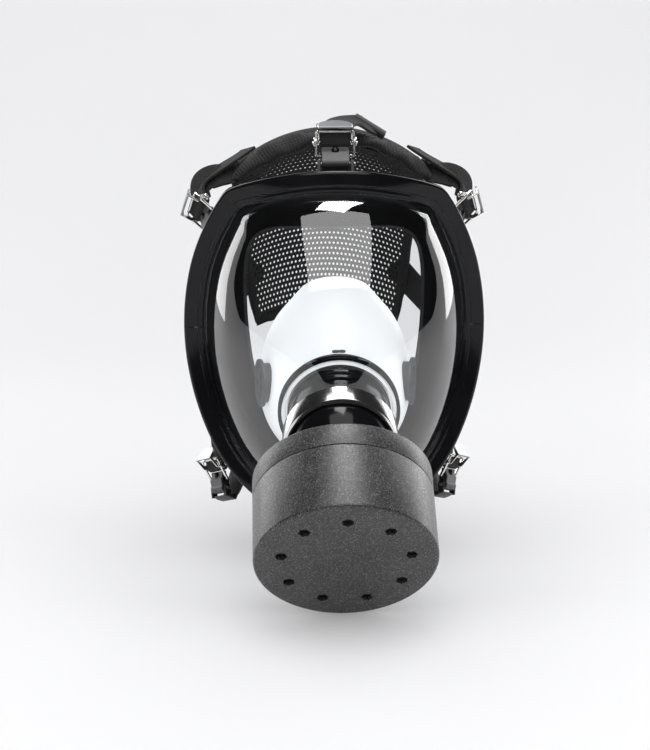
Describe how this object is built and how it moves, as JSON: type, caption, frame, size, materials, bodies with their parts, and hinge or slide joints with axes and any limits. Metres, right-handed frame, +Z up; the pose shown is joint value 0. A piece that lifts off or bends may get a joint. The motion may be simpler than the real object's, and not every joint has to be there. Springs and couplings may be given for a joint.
{
  "type": "full face respirator",
  "caption": "Full face respirator: clear panoramic visor in a black clamp rim, angled screw-on filter canister, inner nose cup, valves, and a net head harness on lever buckles.",
  "frame": {"origin": "centre of the bounding box, at the level of the filter canister's lowest point, as the mask stands on its display form", "axes": "-Y is the way the wearer looks, +Z up, +X to the right of a person who faces the mask; X = 0 is the symmetry plane"},
  "size_m": [0.1918, 0.335, 0.2764],
  "materials": {
    "black_rubber": "satin",
    "gloss_black": "glossy",
    "clear_visor": "clear, hard coated",
    "polished_steel": "polished",
    "white_silicone": "translucent satin",
    "valve_rubber": "satin",
    "speckled_nylon": "fine grain with light speckle",
    "webbing": "woven",
    "net": "perforated net",
    "filter_paper": "pleated",
    "carbon": "granular",
    "grey_metal": "satin",
    "black_tab": "satin"
  },
  "bodies": {
    "facepiece": {"rim_upper": "gloss_black", "rim_lower": "gloss_black", "rim_screw_left": "polished_steel", "rim_screw_right": "polished_steel", "visor_lens": "clear_visor", "face_blank": "black_rubber", "nose_cup": "white_silicone", "nose_cup_ring": "gloss_black", "check_valve_seat_left": "valve_rubber", "check_valve_seat_right": "valve_rubber", "connector_body": "gloss_black", "port_clamp_ring": "polished_steel", "port_thread_ring": "grey_metal", "inhalation_valve_seat": "gloss_black", "exhalation_valve_seat": "gloss_black", "exhalation_valve_cover": "gloss_black", "head_net": "net", "top_bar": "grey_metal", "temple_left_bar": "grey_metal", "temple_right_bar": "grey_metal", "cheek_left_bar": "grey_metal", "cheek_right_bar": "grey_metal", "top_strap": "webbing", "temple_left_strap": "webbing", "temple_right_strap": "webbing", "cheek_left_strap": "webbing", "cheek_right_strap": "webbing"},
    "inhalation_flap": {"inhalation_valve_disc": "valve_rubber"},
    "exhalation_flap": {"exhalation_valve_disc": "valve_rubber"},
    "check_flap_left": {"check_valve_disc_left": "white_silicone"},
    "check_flap_right": {"check_valve_disc_right": "white_silicone"},
    "filter_seal": {"nozzle_gasket": "black_rubber"},
    "filter": {"canister_body": "speckled_nylon", "canister_lid": "speckled_nylon", "filter_nozzle": "grey_metal", "dust_fleece": "filter_paper", "particulate_filter": "filter_paper", "front_screen": "grey_metal", "carbon_bed": "carbon", "rear_screen": "grey_metal"},
    "top_buckle_assembly": {"top_tab": "black_tab", "top_buckle": "polished_steel", "top_strap_loop": "webbing"},
    "top_release": {"top_lever": "polished_steel"},
    "temple_left_buckle_assembly": {"temple_left_tab": "black_tab", "temple_left_buckle": "polished_steel", "temple_left_strap_loop": "webbing"},
    "temple_left_release": {"temple_left_lever": "polished_steel"},
    "temple_right_buckle_assembly": {"temple_right_tab": "black_tab", "temple_right_buckle": "polished_steel", "temple_right_strap_loop": "webbing"},
    "temple_right_release": {"temple_right_lever": "polished_steel"},
    "cheek_left_buckle_assembly": {"cheek_left_tab": "black_tab", "cheek_left_buckle": "polished_steel", "cheek_left_strap_loop": "webbing"},
    "cheek_left_release": {"cheek_left_lever": "polished_steel"},
    "cheek_right_buckle_assembly": {"cheek_right_tab": "black_tab", "cheek_right_buckle": "polished_steel", "cheek_right_strap_loop": "webbing"},
    "cheek_right_release": {"cheek_right_lever": "polished_steel"}
  },
  "joints": [
    {"name": "filter_travel", "type": "slide", "parent": "facepiece", "child": "filter_seal", "axis": [0, -0.7965, -0.6046], "range_m": [0, 0.01452]},
    {"name": "filter_unscrew", "type": "hinge", "parent": "filter_seal", "child": "filter", "pos_m": [0, -0.09058, 0.07576], "axis": [0, -0.7965, -0.6046], "range_deg": [0, 1440]},
    {"name": "inhalation_valve_lift", "type": "slide", "parent": "facepiece", "child": "inhalation_flap", "axis": [0, 0.7965, 0.6046], "range_m": [0, 0.0015]},
    {"name": "exhalation_valve_lift", "type": "slide", "parent": "facepiece", "child": "exhalation_flap", "axis": [0, -0.7965, -0.6046], "range_m": [0, 0.002]},
    {"name": "check_valve_left_lift", "type": "slide", "parent": "facepiece", "child": "check_flap_left", "axis": [0.9781, 0.2079, 0], "range_m": [0, 0.0012]},
    {"name": "check_valve_right_lift", "type": "slide", "parent": "facepiece", "child": "check_flap_right", "axis": [-0.9781, 0.2079, 0], "range_m": [0, 0.0012]},
    {"name": "top_buckle_swing", "type": "hinge", "parent": "facepiece", "child": "top_buckle_assembly", "pos_m": [0, -0.01458, 0.25106], "axis": [-1, 0, 0], "range_deg": [-12, 12]},
    {"name": "top_lever_lift", "type": "hinge", "parent": "top_buckle_assembly", "child": "top_release", "pos_m": [0, -0.00634, 0.26312], "axis": [1, 0, 0], "range_deg": [0, 70]},
    {"name": "temple_left_buckle_swing", "type": "hinge", "parent": "facepiece", "child": "temple_left_buckle_assembly", "pos_m": [-0.0758, 0.02032, 0.21016], "axis": [-0.2424, 0.6931, -0.6789], "range_deg": [-10, 5]},
    {"name": "temple_left_lever_lift", "type": "hinge", "parent": "temple_left_buckle_assembly", "child": "temple_left_release", "pos_m": [-0.08238, 0.02819, 0.22055], "axis": [0.2424, -0.6931, 0.6789], "range_deg": [0, 70]},
    {"name": "temple_right_buckle_swing", "type": "hinge", "parent": "facepiece", "child": "temple_right_buckle_assembly", "pos_m": [0.0758, 0.02032, 0.21016], "axis": [-0.2424, -0.6931, 0.6789], "range_deg": [-10, 5]},
    {"name": "temple_right_lever_lift", "type": "hinge", "parent": "temple_right_buckle_assembly", "child": "temple_right_release", "pos_m": [0.08238, 0.02819, 0.22055], "axis": [0.2424, 0.6931, -0.6789], "range_deg": [0, 70]},
    {"name": "cheek_left_buckle_swing", "type": "hinge", "parent": "facepiece", "child": "cheek_left_buckle_assembly", "pos_m": [-0.0735, 0.02832, 0.03886], "axis": [-0.4541, 0.8348, -0.3114], "range_deg": [-10, 10]},
    {"name": "cheek_left_lever_lift", "type": "hinge", "parent": "cheek_left_buckle_assembly", "child": "cheek_left_release", "pos_m": [-0.07531, 0.03251, 0.05273], "axis": [0.4541, -0.8348, 0.3114], "range_deg": [0, 70]},
    {"name": "cheek_right_buckle_swing", "type": "hinge", "parent": "facepiece", "child": "cheek_right_buckle_assembly", "pos_m": [0.0735, 0.02832, 0.03886], "axis": [-0.4541, -0.8348, 0.3114], "range_deg": [-10, 10]},
    {"name": "cheek_right_lever_lift", "type": "hinge", "parent": "cheek_right_buckle_assembly", "child": "cheek_right_release", "pos_m": [0.07531, 0.03251, 0.05273], "axis": [0.4541, 0.8348, -0.3114], "range_deg": [0, 70]}
  ],
  "couplings": [
    {"joint": "filter_travel", "follows": "filter_unscrew", "m_per_rad": 0.00057741}
  ]
}
